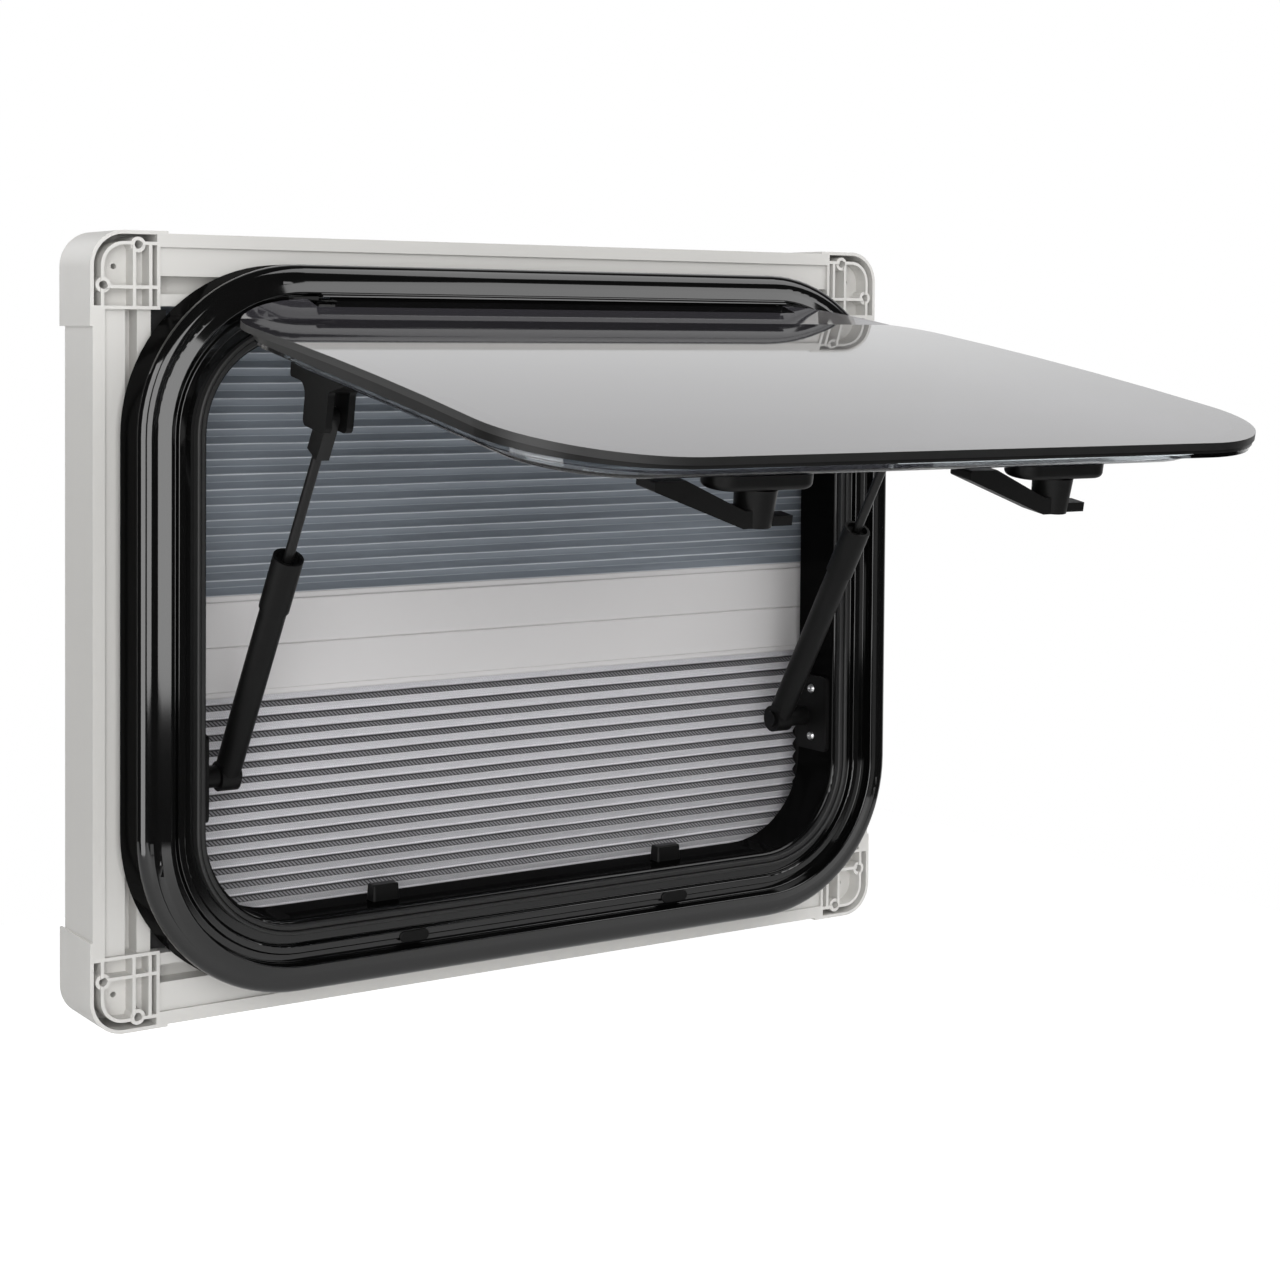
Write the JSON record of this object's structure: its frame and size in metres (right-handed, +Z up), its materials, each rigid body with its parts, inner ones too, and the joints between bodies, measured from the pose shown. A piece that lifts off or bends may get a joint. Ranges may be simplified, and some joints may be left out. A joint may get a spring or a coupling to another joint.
{
  "type": "caravan top-hung window",
  "caption": "Top-hung push-out caravan window: bent black frame, bowed double pane on telescopic stays, turn latches, and a blind frame with pleated blind and screen.",
  "frame": {"origin": "middle of the outer frame's back, in the plane where it seats on the wall", "axes": "+X right seen from outside, +Y into the vehicle, +Z up"},
  "size_m": [0.582, 0.4865, 0.47],
  "materials": {
    "frame_black": "gloss black",
    "seal_rubber": "satin black",
    "edge_black": "black edge",
    "tinted_pane": "dark tint",
    "clear_pane": "clear acrylic",
    "blackout_cloth": "pleated, silver",
    "screen_mesh": "pleated mesh",
    "blind_rail": "painted satin",
    "blind_frame": "satin grey white",
    "corner_plastic": "moulded grey white",
    "guide_black": "black",
    "black_plastic": "fine grain black",
    "stay_rod_steel": "satin black"
  },
  "bodies": {
    "frame": {"outer_frame": "frame_black", "frame_seal": "seal_rubber", "hinge_rail": "frame_black", "catch_left": "black_plastic", "catch_right": "black_plastic", "drain_cover_left": "black_plastic", "drain_cover_right": "black_plastic", "blind_frame_left": "blind_frame", "blind_frame_right": "blind_frame", "blind_frame_top": "blind_frame", "blind_frame_bottom": "blind_frame", "corner_top_left": "corner_plastic", "corner_top_right": "corner_plastic", "corner_bottom_left": "corner_plastic", "corner_bottom_right": "corner_plastic", "guide_left": "guide_black", "guide_right": "guide_black", "blackout_blind": "blackout_cloth", "insect_screen": "screen_mesh", "blackout_rail": "blind_rail", "screen_rail": "blind_rail", "stay_plate_left": "black_plastic", "stay_plate_right": "black_plastic"},
    "sash": {"outer_pane": "tinted_pane", "edge_band": "edge_black", "inner_pane": "clear_pane", "hinge_bar": "frame_black", "stay_bracket_left": "black_plastic", "stay_bracket_right": "black_plastic", "latch_base_left": "black_plastic", "latch_base_right": "black_plastic"},
    "latch_left": {"latch_lever_left": "black_plastic"},
    "latch_right": {"latch_lever_right": "black_plastic"},
    "stay_tube_left": {"stay_tube_left": "black_plastic"},
    "stay_tube_right": {"stay_tube_right": "black_plastic"},
    "stay_rod_left": {"stay_rod_left": "stay_rod_steel"},
    "stay_rod_right": {"stay_rod_right": "stay_rod_steel"}
  },
  "joints": [
    {"name": "sash_hinge", "type": "hinge", "parent": "frame", "child": "sash", "pos_m": [0, -0.046, 0.195], "axis": [1, 0, 0], "range_deg": [0, 80]},
    {"name": "latch_left_turn", "type": "hinge", "parent": "sash", "child": "latch_left", "pos_m": [-0.099, -0.38379, 0.13544], "axis": [0, 0.1736, -0.9848], "range_deg": [0, 90]},
    {"name": "stay_left_turn", "type": "hinge", "parent": "frame", "child": "stay_tube_left", "pos_m": [-0.207, 0.0027, -0.0885], "axis": [1, 0, 0], "range_deg": [-32.18, 0.5]},
    {"name": "stay_left_slide", "type": "slide", "parent": "stay_tube_left", "child": "stay_rod_left", "axis": [0, -0.5206, 0.8538], "range_m": [-0.06692, 0.0005]},
    {"name": "latch_right_turn", "type": "hinge", "parent": "sash", "child": "latch_right", "pos_m": [0.099, -0.38379, 0.13544], "axis": [0, 0.1736, -0.9848], "range_deg": [0, 90]},
    {"name": "stay_right_turn", "type": "hinge", "parent": "frame", "child": "stay_tube_right", "pos_m": [0.207, 0.0027, -0.0885], "axis": [1, 0, 0], "range_deg": [-32.18, 0.5]},
    {"name": "stay_right_slide", "type": "slide", "parent": "stay_tube_right", "child": "stay_rod_right", "axis": [0, -0.5206, 0.8538], "range_m": [-0.06692, 0.0005]}
  ],
  "couplings": [
    {"joint": "stay_left_turn", "follows": "sash_hinge", "ratio": -0.39597},
    {"joint": "stay_left_slide", "follows": "sash_hinge", "m_per_rad": -0.047572},
    {"joint": "stay_right_turn", "follows": "sash_hinge", "ratio": -0.39597},
    {"joint": "stay_right_slide", "follows": "sash_hinge", "m_per_rad": -0.047572}
  ]
}
